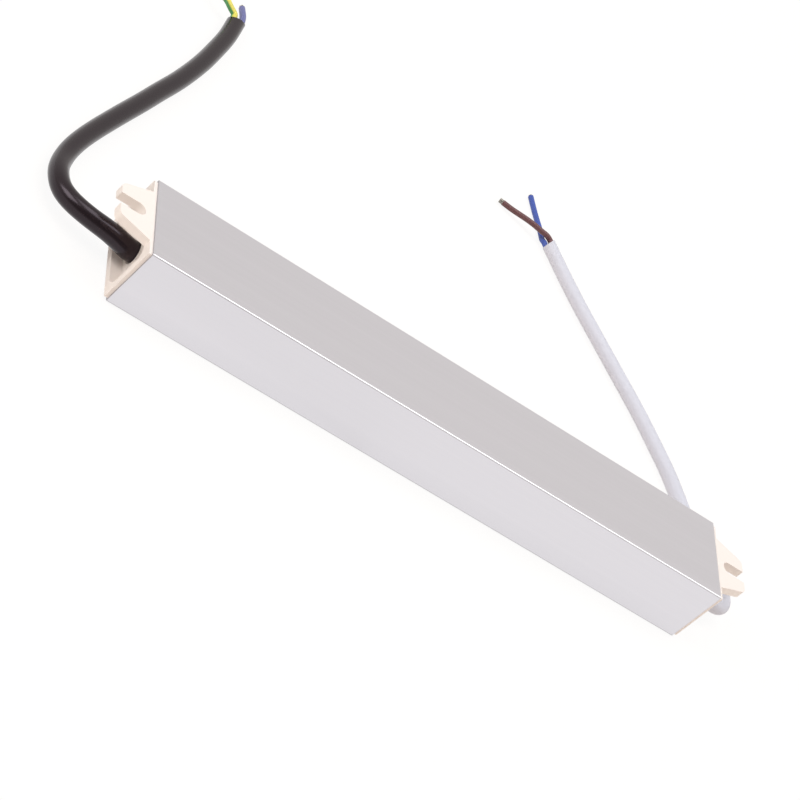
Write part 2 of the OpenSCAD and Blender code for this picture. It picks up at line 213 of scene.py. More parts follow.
@dataclass(frozen=True)
class Finish:
    """One surface finish, which makes one node material.

    Colours are linear: color and shade are mixed by the grain or the stripe, and edge is a painted shade
    on a drawn tube's lower edges, where it meets the floor, and on its cut ends, in the joint with the
    caps. The grain is given in cells per metre along X, Y and Z.
    """

    name: str
    slot: str
    color: Rgb
    shade: Rgb
    roughness: tuple[float, float] = (0.4, 0.5)
    grain: tuple[float, float, float] = (400, 400, 400)
    bump_m: float = 0.00001
    metallic: float = 0.0
    specular: float = 0.5
    coat: float = 0.0
    tint: Rgb = (1, 1, 1)
    # Painted shade on a drawn tube's lower edges and cut ends
    edge: Rgb = (1, 1, 1)
    turn_deg: float = 0.0
    pattern: Pattern = Pattern.GRAIN

    def material(self) -> bpy.types.Material:
        """Makes the material, or finds it where it was made before.

        Returns:
            The node material of this finish.
        """
        made = bpy.data.materials.get(self.name)
        if made is not None:
            return made
        made = bpy.data.materials.new(self.name)
        made.use_nodes = True
        graph = Graph(made.node_tree)
        output = graph.add("ShaderNodeOutputMaterial")
        shader = graph.add("ShaderNodeBsdfPrincipled", values={
            "Metallic": self.metallic, "Specular IOR Level": self.specular,
            "Coat Weight": self.coat, "Coat Roughness": COAT_ROUGHNESS,
            "Specular Tint": (*self.tint, 1),
        })
        graph.join(shader.outputs[0], output.inputs["Surface"])
        grain = self._grain(graph)
        share = self._stripe(graph) if self.pattern is Pattern.STRIPED else grain
        color = graph.mix(share, self.shade, self.color)
        roughness = graph.ramp(grain, (0.0, 1.0), self.roughness)
        # A drawn tube gets painted shade on its lower edges and cut ends; its cut ends are also rougher.
        if self.pattern is Pattern.DRAWN:
            edge, cut = self._painted_edge_shade(graph)
            color = graph.mix(edge, color, self.edge)
            roughness = graph.math("MAXIMUM", roughness, graph.math("MULTIPLY", cut, CUT_ROUGHNESS))
        graph.join(color, shader.inputs["Base Color"])
        graph.join(roughness, shader.inputs["Roughness"])
        bump = graph.add("ShaderNodeBump", values={"Strength": 1.0, "Distance": self.bump_m})
        graph.join(grain, bump.inputs["Height"])
        graph.join(bump.outputs[0], shader.inputs["Normal"])
        return made

    def _grain(self, graph: Graph) -> bpy.types.NodeSocket:
        """Adds the noise that varies the finish.

        Args:
            graph: The material's nodes.

        Returns:
            A socket from 0 to 1.
        """
        fine = self._noise(graph, self.grain, FINE_NOISE)
        if self.pattern is not Pattern.DRAWN:
            return fine
        broad_grain = tuple(cells * share for cells, share in zip(self.grain, BROAD_SHARE))
        both = graph.math("ADD", fine, self._noise(graph, broad_grain, BROAD_NOISE))
        return graph.math("MULTIPLY", both, 0.5)

    def _noise(self, graph: Graph, cells: Point, noise: dict[str, float]) -> bpy.types.NodeSocket:
        """Adds one noise texture in the object's own coordinates.

        Args:
            graph: The material's nodes.
            cells: The cells per metre along X, Y and Z.
            noise: The noise node's values.

        Returns:
            A socket from 0 to 1.
        """
        place = graph.add("ShaderNodeTexCoord")
        mapping = graph.add("ShaderNodeMapping", values={"Scale": cells})
        graph.join(place.outputs["Object"], mapping.inputs["Vector"])
        made = graph.add("ShaderNodeTexNoise", values=noise)
        graph.join(mapping.outputs[0], made.inputs["Vector"])
        return made.outputs[0]

    def _painted_edge_shade(self, graph: Graph) -> tuple[bpy.types.NodeSocket, bpy.types.NodeSocket]:
        """Finds where shade is painted on the drawn tube: its two lower edges, against the floor, and
        its cut ends, in the joint with the caps.

        Args:
            graph: The material's nodes.

        Returns:
            A socket that is 1 on all of them, and one that is 1 on the cut ends.
        """
        place = graph.add("ShaderNodeTexCoord")
        split = graph.add("ShaderNodeSeparateXYZ")
        graph.join(place.outputs["Object"], split.inputs[0])
        # Painted shade that fades out upwards from the tube's underside
        low = graph.ramp(split.outputs["Z"], LOW_EDGE_SHADE, (1.0, 0.0))
        cut = graph.ramp(graph.math("ABSOLUTE", split.outputs["X"]), CUT_END)
        return graph.math("MAXIMUM", low, cut), cut

    def _stripe(self, graph: Graph) -> bpy.types.NodeSocket:
        """Adds a stripe that covers part of the way round a core.

        Args:
            graph: The material's nodes.

        Returns:
            A socket that is 1 on the main colour and 0 on the other.
        """
        around = graph.add("ShaderNodeAttribute", {"attribute_name": "around"})
        turn = graph.add("ShaderNodeMapping", values={
            "Rotation": (0, 0, math.radians(self.turn_deg)),
        })
        graph.join(around.outputs["Vector"], turn.inputs["Vector"])
        split = graph.add("ShaderNodeSeparateXYZ")
        graph.join(turn.outputs[0], split.inputs[0])
        return graph.ramp(split.outputs[0], STRIPE_EDGE)


# The tube's edge colour is painted shade on its lower edges and cut ends.
TUBE_ALUMINIUM = Finish(
    "satin_aluminium", "tube_aluminium", tone(228, 226, 231), tone(220, 218, 223),
    (0.26, 0.34), (5, 2600, 2600), 0.000004, metallic=1.0, edge=tone(190, 187, 190),
    pattern=Pattern.DRAWN)
CAP_PLASTIC = Finish(
    "ivory_moulding", "cap_plastic", tone(252, 246, 241), tone(250, 243, 238),
    (0.42, 0.52), (900, 900, 900), 0.000008)
MAINS_JACKET = Finish(
    "black_jacket", "mains_jacket", tone(26, 18, 21), tone(22, 16, 18),
    (0.2, 0.25), (1600, 1600, 1600), 0.000001, specular=0.52, tint=(0.85, 0.72, 0.82))
OUTPUT_JACKET = Finish(
    "white_jacket", "output_jacket", tone(218, 221, 233), tone(212, 215, 227),
    (0.42, 0.52), (700, 700, 700), 0.000004)
BROWN_CORE = Finish(
    "brown_insulation", "core_brown", tone(112, 72, 74), tone(96, 62, 64), (0.4, 0.5), (900, 900, 900))
BLUE_CORE = Finish(
    "blue_insulation", "core_blue", tone(74, 98, 182), tone(60, 84, 168), (0.4, 0.5), (900, 900, 900))
PALE_BLUE_CORE = Finish(
    "pale_blue_insulation", "core_blue", tone(122, 126, 178), tone(104, 108, 162),
    (0.4, 0.5), (900, 900, 900))
EARTH_CORE = Finish(
    "green_yellow_insulation", "core_green_yellow", tone(232, 224, 104), tone(84, 158, 96),
    (0.4, 0.5), (900, 900, 900), turn_deg=26.0, pattern=Pattern.STRIPED)
TINNED_STRAND = Finish(
    "tinned_strand", "core_brown", tone(168, 163, 154), tone(136, 131, 124),
    (0.3, 0.4), (2000, 2000, 2000), 0.000003, metallic=1.0)

INNER_FINISHES = {
    "film": Finish("liner_film", "film", tone(238, 236, 230), tone(230, 228, 222), (0.3, 0.4)),
    "board_laminate": Finish(
        "solder_mask", "board_laminate", tone(30, 96, 58), tone(22, 78, 46),
        (0.25, 0.35), (600, 600, 600)),
    "fuse_glass": Finish(
        "fuse_body", "fuse_glass", tone(206, 208, 208), tone(190, 192, 194), (0.15, 0.25)),
    "blue_coating": Finish(
        "dipped_blue", "blue_coating", tone(46, 84, 160), tone(38, 72, 144), (0.2, 0.3), coat=0.3),
    "yellow_case": Finish("yellow_case", "yellow_case", tone(224, 186, 62), tone(214, 174, 50)),
    "dark_moulding": Finish(
        "package_black", "dark_moulding", tone(44, 44, 46), tone(36, 36, 38),
        (0.5, 0.65), (1500, 1500, 1500)),
    "can_sleeve": Finish(
        "can_sleeve", "can_sleeve", tone(40, 48, 84), tone(32, 40, 72), (0.25, 0.35), coat=0.2),
    "resistor_coat": Finish("resistor_coat", "resistor_coat", tone(196, 176, 142), tone(184, 162, 128)),
    "ferrite": Finish(
        "ferrite_grey", "ferrite", tone(72, 72, 76), tone(60, 60, 64), (0.5, 0.65), (1800, 1800, 1800)),
    "winding": Finish("winding_tape", "winding", tone(226, 190, 70), tone(214, 176, 58), (0.3, 0.4)),
    "copper_winding": Finish(
        "lacquered_copper", "copper_winding", tone(178, 108, 62), tone(150, 84, 46),
        (0.25, 0.35), (300, 300, 3000), metallic=1.0),
}


# Routes


def smooth_path(points: list[Vector], step: float) -> list[Vector]:
    """Draws one smooth curve through points, as a clamped cubic spline.

    Args:
        points: The points that the curve goes through.
        step: The spacing of the points that come back.

    Returns:
        Points along the curve, from the first to the last.
    """
    p = np.array([tuple(v) for v in points])
    knots = np.concatenate([[0], np.cumsum(np.linalg.norm(np.diff(p, axis=0), axis=1))])
    gaps = np.diff(knots)
    n = len(p)
    system = np.zeros((n, n))
    right = np.zeros((n, 3))
    slopes = np.diff(p, axis=0) / gaps[:, None]
    system[0, 0] = system[-1, -1] = 1
    right[0], right[-1] = slopes[0], slopes[-1]
    for i in range(1, n - 1):
        system[i, i - 1] = gaps[i]
        system[i, i] = 2 * (gaps[i - 1] + gaps[i])
        system[i, i + 1] = gaps[i - 1]
        right[i] = 3 * (gaps[i] * slopes[i - 1] + gaps[i - 1] * slopes[i])
    tangents = np.linalg.solve(system, right)
    count = max(2, round(knots[-1] / step) + 1)
    made = []
    for s in np.linspace(0, knots[-1], count):
        i = min(int(np.searchsorted(knots, s, side="right")) - 1, n - 2)
        t = (s - knots[i]) / gaps[i]
        h0, h1 = 2 * t**3 - 3 * t**2 + 1, t**3 - 2 * t**2 + t
        h2, h3 = -2 * t**3 + 3 * t**2, t**3 - t**2
        spot = h0 * p[i] + h1 * gaps[i] * tangents[i]
        spot = spot + h2 * p[i + 1] + h3 * gaps[i] * tangents[i + 1]
        made.append(Vector(spot))
    return made


def path_length(path: list[Vector]) -> float:
    """Adds up the lengths of a path's steps."""
    return sum((b - a).length for a, b in zip(path, path[1:]))


def shortened(path: list[Vector], cut: float) -> list[Vector]:
    """Takes a length off the far end of a path.

    Args:
        path: The path's points.
        cut: The length to take off.

    Returns:
        The points of the shorter path.
    """
    left = path_length(path) - cut
    made = [path[0]]
    for a, b in zip(path, path[1:]):
        step = (b - a).length
        if step >= left:
            made.append(a.lerp(b, left / step))
            return made
        made.append(b)
        left -= step
    return made


# Shapes that Geometry Nodes make


class NodesShape:
    """A Geometry Nodes tree that is run once on a host mesh and turned into a plain mesh."""

    def __init__(self, name: str, inputs: list[tuple[str, str]]) -> None:
        """Makes an empty tree.

        Args:
            name: The tree's name.
            inputs: Name and socket type of each size that the tree takes.
        """
        self.tree = bpy.data.node_groups.new(name, "GeometryNodeTree")
        self.graph = Graph(self.tree)
        face = self.tree.interface
        face.new_socket("Geometry", in_out="INPUT", socket_type="NodeSocketGeometry")
        self.sockets = {
            label: face.new_socket(label, in_out="INPUT", socket_type=kind).identifier
            for label, kind in inputs
        }
        face.new_socket("Geometry", in_out="OUTPUT", socket_type="NodeSocketGeometry")
        self.entry = self.graph.add("NodeGroupInput")
        self.exit = self.graph.add("NodeGroupOutput")

    def end_with(self, geometry: bpy.types.NodeSocket) -> None:
        """Ends the tree in Realize Instances and Set Material.

        Args:
            geometry: The socket that holds the finished shape.
        """
        real = self.graph.add("GeometryNodeRealizeInstances")
        paint = self.graph.add("GeometryNodeSetMaterial")
        self.graph.join(geometry, real.inputs[0])
        self.graph.join(real.outputs[0], paint.inputs["Geometry"])
        self.graph.join(self.entry.outputs["Material"], paint.inputs["Material"])
        self.graph.join(paint.outputs[0], self.exit.inputs[0])

    def make(self, host: bpy.types.Object, values: dict[str, object]) -> bpy.types.Mesh:
        """Runs the tree on a host and keeps the result as a plain mesh.

        Args:
            host: The object that the tree starts from.
            values: The tree's sizes, by name.

        Returns:
            The mesh that the tree made.
        """
        modifier = host.modifiers.new(self.tree.name, "NODES")
        modifier.node_group = self.tree
        for label, value in values.items():
            modifier[self.sockets[label]] = value
        depsgraph = bpy.context.evaluated_depsgraph_get()
        mesh = bpy.data.meshes.new_from_object(host.evaluated_get(depsgraph), depsgraph=depsgraph)
        host.modifiers.remove(modifier)
        return mesh


class Sweep(NodesShape):
    """A round tube along each line of a host mesh.

    The host's "girth" attribute swells the tube, and "around" keeps the place round it for the finish.
    """

    def __init__(self) -> None:
        """Builds the tree."""
        super().__init__("round_sweep", [
            ("Radius", "NodeSocketFloat"), ("Sides", "NodeSocketInt"),
            ("Material", "NodeSocketMaterial"),
        ])
        graph = self.graph
        line = graph.add("GeometryNodeMeshToCurve")
        graph.join(self.entry.outputs["Geometry"], line.inputs["Mesh"])
        circle = graph.add("GeometryNodeCurvePrimitiveCircle")
        graph.join(self.entry.outputs["Radius"], circle.inputs["Radius"])
        graph.join(self.entry.outputs["Sides"], circle.inputs["Resolution"])
        place = graph.add("GeometryNodeInputPosition")
        share = graph.add("ShaderNodeVectorMath", {"operation": "DIVIDE"})
        graph.join(place.outputs[0], share.inputs[0])
        graph.join(self.entry.outputs["Radius"], share.inputs[1])
        keep = graph.add(
            "GeometryNodeStoreNamedAttribute", {"data_type": "FLOAT_VECTOR", "domain": "POINT"},
            {"Name": "around"})
        graph.join(circle.outputs["Curve"], keep.inputs["Geometry"])
        graph.join(share.outputs[0], keep.inputs["Value"])
        girth = graph.add("GeometryNodeInputNamedAttribute", {"data_type": "FLOAT"}, {"Name": "girth"})
        tube = graph.add("GeometryNodeCurveToMesh", values={"Fill Caps": True})
        graph.join(line.outputs["Curve"], tube.inputs["Curve"])
        graph.join(girth.outputs["Attribute"], tube.inputs["Scale"])
        graph.join(keep.outputs[0], tube.inputs["Profile Curve"])
        self.end_with(tube.outputs[0])


class StrandBundle(NodesShape):
    """Bare wire strands: one in the middle and a ring of them round it, standing along Z."""

    strand_sides: int = 10

    def __init__(self) -> None:
        """Builds the tree."""
        super().__init__("strand_bundle", [
            ("Ring", "NodeSocketFloat"), ("Count", "NodeSocketInt"), ("Strand", "NodeSocketFloat"),
            ("Length", "NodeSocketFloat"), ("Material", "NodeSocketMaterial"),
        ])
        graph = self.graph
        ring = graph.add("GeometryNodeMeshCircle")
        graph.join(self.entry.outputs["Ring"], ring.inputs["Radius"])
        graph.join(self.entry.outputs["Count"], ring.inputs["Vertices"])
        middle = graph.add("GeometryNodePoints", values={"Count": 1})
        places = graph.add("GeometryNodeJoinGeometry")
        graph.join(ring.outputs[0], places.inputs[0])
        graph.join(middle.outputs[0], places.inputs[0])
        strand = graph.add("GeometryNodeMeshCylinder", values={"Vertices": self.strand_sides})
        graph.join(self.entry.outputs["Strand"], strand.inputs["Radius"])
        graph.join(self.entry.outputs["Length"], strand.inputs["Depth"])
        copies = graph.add("GeometryNodeInstanceOnPoints")
        graph.join(places.outputs[0], copies.inputs["Points"])
        graph.join(strand.outputs["Mesh"], copies.inputs["Instance"])
        self.end_with(copies.outputs[0])


def new_object(name: str, mesh: bpy.types.Mesh) -> bpy.types.Object:
    """Puts a mesh in the scene as an object at the origin.

    Args:
        name: The object's name.
        mesh: The mesh.

    Returns:
        The object.
    """
    made = bpy.data.objects.new(name, mesh)
    bpy.context.scene.collection.objects.link(made)
    return made


def line_host(paths: list[list[Vector]], girths: list[float] | None = None) -> bpy.types.Object:
    """Makes a mesh of bare edges, one line for each path.

    Args:
        paths: The points of each line.
        girths: The tube's size at each point, as a share of its radius. It is 1 where none is given.

    Returns:
        An object for a tree to start from.
    """
    mesh = bpy.data.meshes.new("lines")
    points: list[Vector] = []
    edges: list[tuple[int, int]] = []
    for path in paths:
        first = len(points)
        points.extend(path)
        edges.extend((first + i, first + i + 1) for i in range(len(path) - 1))
    mesh.from_pydata(points, edges, [])
    sizes = mesh.attributes.new("girth", "FLOAT", "POINT")
    sizes.data.foreach_set("value", girths or [1.0] * len(points))
    return new_object("lines", mesh)


def drop(thing: bpy.types.Object) -> None:
    """Removes a helper object from the scene."""
    bpy.data.objects.remove(thing)


def shade_smooth(mesh: bpy.types.Mesh, sharp_deg: float) -> None:
    """Shades a mesh smooth, with sharp edges where its faces turn by more than an angle.

    Args:
        mesh: The mesh.
        sharp_deg: The angle, in degrees.
    """
    mesh.shade_smooth()
    mesh.set_sharp_from_angle(angle=math.radians(sharp_deg))


def place_on_part(piece: bpy.types.Object, slot: str, *nodes: str) -> bpy.types.Object:
    """Makes a finished piece part of the driver.

    Args:
        piece: The piece, in place.
        slot: Not used.
        nodes: The CAD nodes that it stands for.

    Returns:
        The same piece.
    """
    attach(piece, BODY)
    if nodes:
        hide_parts(*nodes)
    LOG.info("made %s", piece.name)
    return piece


# Leads


@dataclass
class Core:
    """One insulated core of a lead, with its stripped end and the tail on the board.

    The route past the jacket's end is given in millimetres ahead of it, to its left and above the
    floor. The tail is where the core starts across and above the lead's middle, and where it ends
    across the board.
    """

    node: str
    finish: Finish
    diameter: float
    route: list[Point]
    tail: Point
    bare: float = 0.4
    strand_count: int = 6


@dataclass
class Lead:
    """A round lead that leaves one end cap and lies on the floor behind the tube.

    The route is in millimetres: out of the recess floor, across the tube, and the height of the
    lead's underside above the floor. A point with no height is at the bore's height. The slant is how
    far the far end is cut back for each millimetre to the left and up. The girth gives places along the
    lead, from the recess floor, and the jacket's size there as a share of its diameter.
    """

    node: str
    finish: Finish
    diameter: float
    way: int
    route: list[tuple[float, float, float | None]]
    cores: list[Core]
    stiffness: str
    exit_x: float = 97.4
    bore_z: float = 7.0
    inside: float = 7.5
    board_top: float = 5.8
    tail_straight: float = 1.5
    tail_run: float = 5.0
    tail_drop: float = 1.6
    step: float = 1.0
    core_step: float = 0.4
    tail_step: float = 0.3
    sides: int = 28
    core_sides: int = 20
    strand_share: float = 0.145
    strand_pitch: float = 2.02
    sharp_deg: float = 40.0
    edge: float = 0.12
    edge_steps: int = 2
    edge_deg: float = 60.0
    slant: tuple[float, float] = (0.0, 0.0)
    slant_run: float = 7.0
    mouth_wall: float = 0.75
    mouth_depth: float = 1.5
    root_run: float = 4.5
    root_share: float = 0.4
    girth: list[tuple[float, float]] = field(default_factory=lambda: [(0.0, 1.0)])

    def points(self) -> list[Vector]:
        """Gives the route's points in the part's frame, in metres."""
        return [
            MM * Vector((
                self.way * (self.exit_x + out), across,
                self.bore_z if height is None else self.diameter / 2 + height))
            for out, across, height in self.route
        ]

    def core_points(self, core: Core) -> list[Vector]:
        """Gives the points of a core past the jacket's end.

        Args:
            core: The core.

        Returns:
            Its points in the part's frame, in metres.
        """
        line = self.points()
        ahead = (line[-1] - line[-2]).normalized()
        left = Vector((-ahead.y, ahead.x, 0))
        start = Vector((line[-1].x, line[-1].y, 0))
        return [start + MM * (a * ahead + b * left + Vector((0, 0, c))) for a, b, c in core.route]

    def tail_points(self, core: Core) -> list[Vector]:
        """Gives the points of a core's tail, from the lead's inner end down to the board.

        Args:
            core: The core.

        Returns:
            Its points in the part's frame, in metres.
        """
        start = self.exit_x - self.inside
        across, above, end = core.tail
        return [MM * Vector(p) for p in (
            (self.way * start, across, self.bore_z + above),
            (self.way * (start - self.tail_straight), across, self.bore_z + above),
            (self.way * (start - self.tail_run), end, self.board_top + self.tail_drop),
            (self.way * (start - self.tail_run), end, self.board_top),
        )]

    def build(self, sweep: Sweep, bundle: StrandBundle) -> None:
        """Args:
            sweep: The tree that makes tubes.
            bundle: The tree that makes bare strands.
        """
        path = smooth_path(self.points(), self.step * MM)
        jacket = self._jacket(path, sweep)
        for core in self.cores:
            self._core(core, sweep, bundle)
        LOG.info("%s: %.0f mm in all", self.node, path_length(path) / MM)

    def _girths(self, path: list[Vector]) -> list[float]:
        """Works out the jacket's size at each point of its path.

        Args:
            path: The lead's middle line.

        Returns:
            Shares of the jacket's radius.
        """
        steps = [0.0, *((b - a).length / MM for a, b in zip(path, path[1:]))]
        places, sizes = zip(*self.girth)
        return [float(v) for v in np.interp(np.cumsum(steps) - self.inside, places, sizes)]

    def _open_mouth(self, mesh: bpy.types.Mesh, path: list[Vector]) -> None:
        """Cuts the jacket's far end at a slant and hollows its mouth.

        Args:
            mesh: The swept jacket.
            path: The lead's middle line.
        """
        end = path[-1]
        ahead = (path[-1] - path[-2]).normalized()
        lean = Vector((-ahead.y * self.slant[0], ahead.x * self.slant[0], self.slant[1]))
        run = self.slant_run * MM
        bm = bmesh.new()
        bm.from_mesh(mesh)
        for vert in bm.verts:
            back = (end - vert.co).dot(ahead)
            if -MM < back < run and (vert.co - end).length < 2 * run:
                share = 1 - max(0.0, back) / run
                vert.co -= ahead * (vert.co - end).dot(lean) * share
        bm.faces.ensure_lookup_table()
        # Only the two end faces have more than four corners
        ends = [face for face in bm.faces if len(face.verts) > 4]
        mouth = min(ends, key=lambda face: (face.calc_center_median() - end).length)
        bmesh.ops.inset_region(bm, faces=[mouth], thickness=self.mouth_wall * MM, use_even_offset=True)
        floor = bmesh.ops.extrude_face_region(bm, geom=[mouth])
        bm.faces.remove(mouth)
        for item in floor["geom"]:
            if isinstance(item, bmesh.types.BMVert):
                item.co -= ahead * self.mouth_depth * MM
        bmesh.ops.recalc_face_normals(bm, faces=bm.faces)
        bm.to_mesh(mesh)
        bm.free()

    def _jacket(self, path: list[Vector], sweep: Sweep) -> bpy.types.Object:
        """Sweeps the jacket, opens its far end and rounds its cut edges a little.

        Args:
            path: The lead's middle line.
            sweep: The tree that makes tubes.

        Returns:
            The jacket.
        """
        host = line_host([path], self._girths(path))
        mesh = sweep.make(host, {
            "Radius": self.diameter / 2 * MM, "Sides": self.sides, "Material": self.finish.material()})
        drop(host)
        self._open_mouth(mesh, path)
        shade_smooth(mesh, self.sharp_deg)
        jacket = new_object(self.node + "_jacket", mesh)
        bevel = jacket.modifiers.new("cut_edge", "BEVEL")
        bevel.width = self.edge * MM
        bevel.segments = self.edge_steps
        bevel.limit_method = "ANGLE"
        bevel.angle_limit = math.radians(self.edge_deg)
        return place_on_part(jacket, self.finish.slot, self.node)

    def _core(self, core: Core, sweep: Sweep, bundle: StrandBundle) -> list[bpy.types.Object]:
        """Sweeps a core's stripped end and tail, and puts bare strands at its tip.

        Args:
            core: The core.
            sweep: The tree that makes tubes.
            bundle: The tree that makes bare strands.

        Returns:
            The core and its strands.
        """
        points = self.core_points(core)
        end = self.points()[-1]
        back = (points[1] - points[0]).normalized() * self.root_run * MM
        root = end + (points[0] - end) * self.root_share - back
        full = smooth_path([root, *points], self.core_step * MM)
        coat = shortened(full, core.bare * MM)
        host = line_host([coat, smooth_path(self.tail_points(core), self.tail_step * MM)])
        mesh = sweep.make(host, {
            "Radius": core.diameter / 2 * MM, "Sides": self.core_sides,
            "Material": core.finish.material()})
        drop(host)
        shade_smooth(mesh, self.sharp_deg)
        piece = new_object(core.node + "_coat", mesh)
        place_on_part(piece, core.finish.slot, core.node)
        strand = core.diameter * self.strand_share * MM
        host = line_host([[Vector(), Vector((0, 0, MM))]])
        wires = bundle.make(host, {
            "Ring": strand * self.strand_pitch, "Count": core.strand_count, "Strand": strand,
            "Length": 2 * core.bare * MM, "Material": TINNED_STRAND.material()})
        drop(host)
        along = (full[-1] - full[-3]).normalized()
        turn = along.to_track_quat("Z", "Y").to_matrix().to_4x4()
        wires.transform(Matrix.Translation(coat[-1]) @ turn)
        shade_smooth(wires, self.sharp_deg)
        strands = new_object(core.node + "_strands", wires)
        place_on_part(strands, core.finish.slot)
        return [piece, strands]


# Tube


@dataclass
class Tube:
    """The extruded aluminium tube, with rounded long edges and cut ends. Sizes are in millimetres."""

    length: float = 200.0
    width: float = 30.0
    height: float = 20.5
    wall: float = 1.5
    edge_r: float = 0.5
    inside_r: float = 0.2
    inside_cut_r: float = 0.3
    cut_bevel: float = 0.12
    arc_steps: int = 6
    arc_support: float = 0.1
    sharp_deg: float = 30.0
    finish: Finish = TUBE_ALUMINIUM

    def outline(self, inset: float, radius: float) -> list[tuple[float, float]]:
        """Draws the section's outline, set in from the outside, with a support point beside each arc.

        Args:
            inset: How far inside the outer outline it lies.
            radius: The corner radius.

        Returns:
            Points across and up, anticlockwise as seen from the output end.
        """
        low, high = inset, self.height - inset
        half = self.width / 2 - inset
        made: list[tuple[float, float]] = []
        corners = [(half, low, -90), (half, high, 0), (-half, high, 90), (-half, low, 180)]
        for y, z, start in corners:
            cy = y - math.copysign(radius, y)
            cz = z + (radius if z == low else -radius)
            turns = [math.radians(start + 90 * k / self.arc_steps) for k in range(self.arc_steps + 1)]
            arc = [(cy + radius * math.cos(turn), cz + radius * math.sin(turn)) for turn in turns]
            before, after = turns[0], turns[-1]
            out = self.arc_support
            lead_in = (arc[0][0] + out * math.sin(before), arc[0][1] - out * math.cos(before))
            lead_out = (arc[-1][0] - out * math.sin(after), arc[-1][1] + out * math.cos(after))
            made.extend([lead_in, *arc, lead_out])
        return made

    def build(self) -> None:
        """Lofts the tube's outside, cut faces and inside."""
        half = self.length / 2
        r = self.edge_r
        b = self.cut_bevel
        support = 3 * b
        rings = [
            (-half, b, r - b), (-half + b, 0, r), (-half + support, 0, r),
            (half - support, 0, r), (half - b, 0, r), (half, b, r - b),
            (half, self.wall - b, self.inside_cut_r), (half - b, self.wall, self.inside_r),
            (-half + b, self.wall, self.inside_r), (-half, self.wall - b, self.inside_cut_r),
        ]
        bm = bmesh.new()
        loops = [
            [bm.verts.new(MM * Vector((x, y, z))) for y, z in self.outline(inset, radius)]
            for x, inset, radius in rings
        ]
        for i, loop in enumerate(loops):
            after = loops[(i + 1) % len(loops)]
            for k in range(len(loop)):
                nxt = (k + 1) % len(loop)
                bm.faces.new((loop[k], loop[nxt], after[nxt], after[k]))
        bmesh.ops.recalc_face_normals(bm, faces=bm.faces)
        mesh = bpy.data.meshes.new("tube")
        bm.to_mesh(mesh)
        bm.free()
        mesh.materials.append(self.finish.material())
        shade_smooth(mesh, self.sharp_deg)
        place_on_part(new_object("housing_tube", mesh), self.finish.slot, "housing")


# End caps


@dataclass
class EndCap:
    """A moulded end cap: the CAD node's own shape with a fillet round its recess floor and eased edges.

    Sizes are in millimetres. The floor is at the lead's exit, and the fillet keeps clear of its bore.
    """

    node: str
    edge: float = 0.32
    edge_steps: int = 3
    sharp_deg: float = 35.0
    flat_deg: float = 1.0
    weld: float = 0.001
    floor_x: float = 97.4
    floor_slack: float = 0.01
    floor_fillet: float = 1.4
    fillet_steps: int = 5
    corner_deg: float = 45.0
    bore: tuple[float, float] = (0.0, 7.0)
    bore_reach: float = 3.5
    finish: Finish = CAP_PLASTIC

    def build(self) -> None:
        """Copies the node, joins its triangles into faces and eases its edges."""
        bm = bmesh.new()
        bm.from_mesh(frame["nodes"][self.node].data)
        bmesh.ops.remove_doubles(bm, verts=bm.verts, dist=self.weld * MM)
        bmesh.ops.dissolve_limit(
            bm, angle_limit=math.radians(self.flat_deg), verts=bm.verts, edges=bm.edges,
            delimit={"NORMAL"})
        bmesh.ops.bevel(
            bm, geom=[edge for edge in bm.edges if self._on_floor(edge)], affect="EDGES",
            offset=self.floor_fillet * MM, offset_type="OFFSET", segments=self.fillet_steps,
            profile=0.5, clamp_overlap=True)
        mesh = bpy.data.meshes.new(self.node)
        bm.to_mesh(mesh)
        bm.free()
        mesh.materials.clear()
        mesh.materials.append(self.finish.material())
        shade_smooth(mesh, self.sharp_deg)
        cap = new_object(self.node + "_moulding", mesh)
        bevel = cap.modifiers.new("eased_edges", "BEVEL")
        bevel.width = self.edge * MM
        bevel.segments = self.edge_steps
        bevel.limit_method = "ANGLE"
        bevel.angle_limit = math.radians(self.sharp_deg)
        bevel.use_clamp_overlap = True
        bevel.harden_normals = True
        place_on_part(cap, self.finish.slot, self.node)

    def _on_floor(self, edge: bmesh.types.BMEdge) -> bool:
        """Tells whether an edge is where the recess floor meets its walls.

        Args:
            edge: An edge of the cap.

        Returns:
            True for an inner corner at the floor's depth that is not the bore's rim.
        """
        bore = Vector(self.bore) * MM
        return edge.calc_face_angle(0) > math.radians(self.corner_deg) and all(
            abs(abs(vert.co.x) - self.floor_x * MM) < self.floor_slack * MM
            and (vert.co.yz - bore).length > self.bore_reach * MM for vert in edge.verts)


# Parts inside the tube


@dataclass
class InnerParts:
    """The liner, the board and the parts on it, which keep their CAD shapes."""

    finishes: dict[str, Finish] = field(default_factory=lambda: INNER_FINISHES)

    def dress(self) -> None:
        """Gives every inner node the finish of its material slot."""
        slots = {row["node"]: row["material_slot"] for row in frame["record"]["subparts"]}
        for name, node in sorted(frame["nodes"].items()):
            finish = self.finishes.get(slots[name])
            if finish is None:
                continue
            node.data.materials.clear()
            node.data.materials.append(finish.material())
            LOG.info("dressed %s", name)


# Studio


@dataclass
class PhotoCamera:
    """The camera at the photograph's place, in the part's frame."""

    place: Point = (-0.3965, -0.6317, 0.4661)
    right: Point = (0.76611, -0.00547, 0.64269)
    up: Point = (-0.46414, 0.687, 0.55911)
    back: Point = (-0.44458, -0.72664, 0.52378)
    lens: float = 144.09
    sensor: float = 36.0
    clip: tuple[float, float] = (0.01, 50.0)

    def build(self) -> None:
        """Adds the camera and makes it the scene's own."""
        data = bpy.data.cameras.new("camera")
        data.lens = self.lens
        data.sensor_width = self.sensor
        data.clip_start, data.clip_end = self.clip
        made = bpy.data.objects.new("camera", data)
        turn = Matrix((self.right, self.up, self.back)).transposed()
        made.matrix_world = Matrix.Translation(self.place) @ turn.to_4x4()
        bpy.context.scene.collection.objects.link(made)
        bpy.context.scene.camera = made


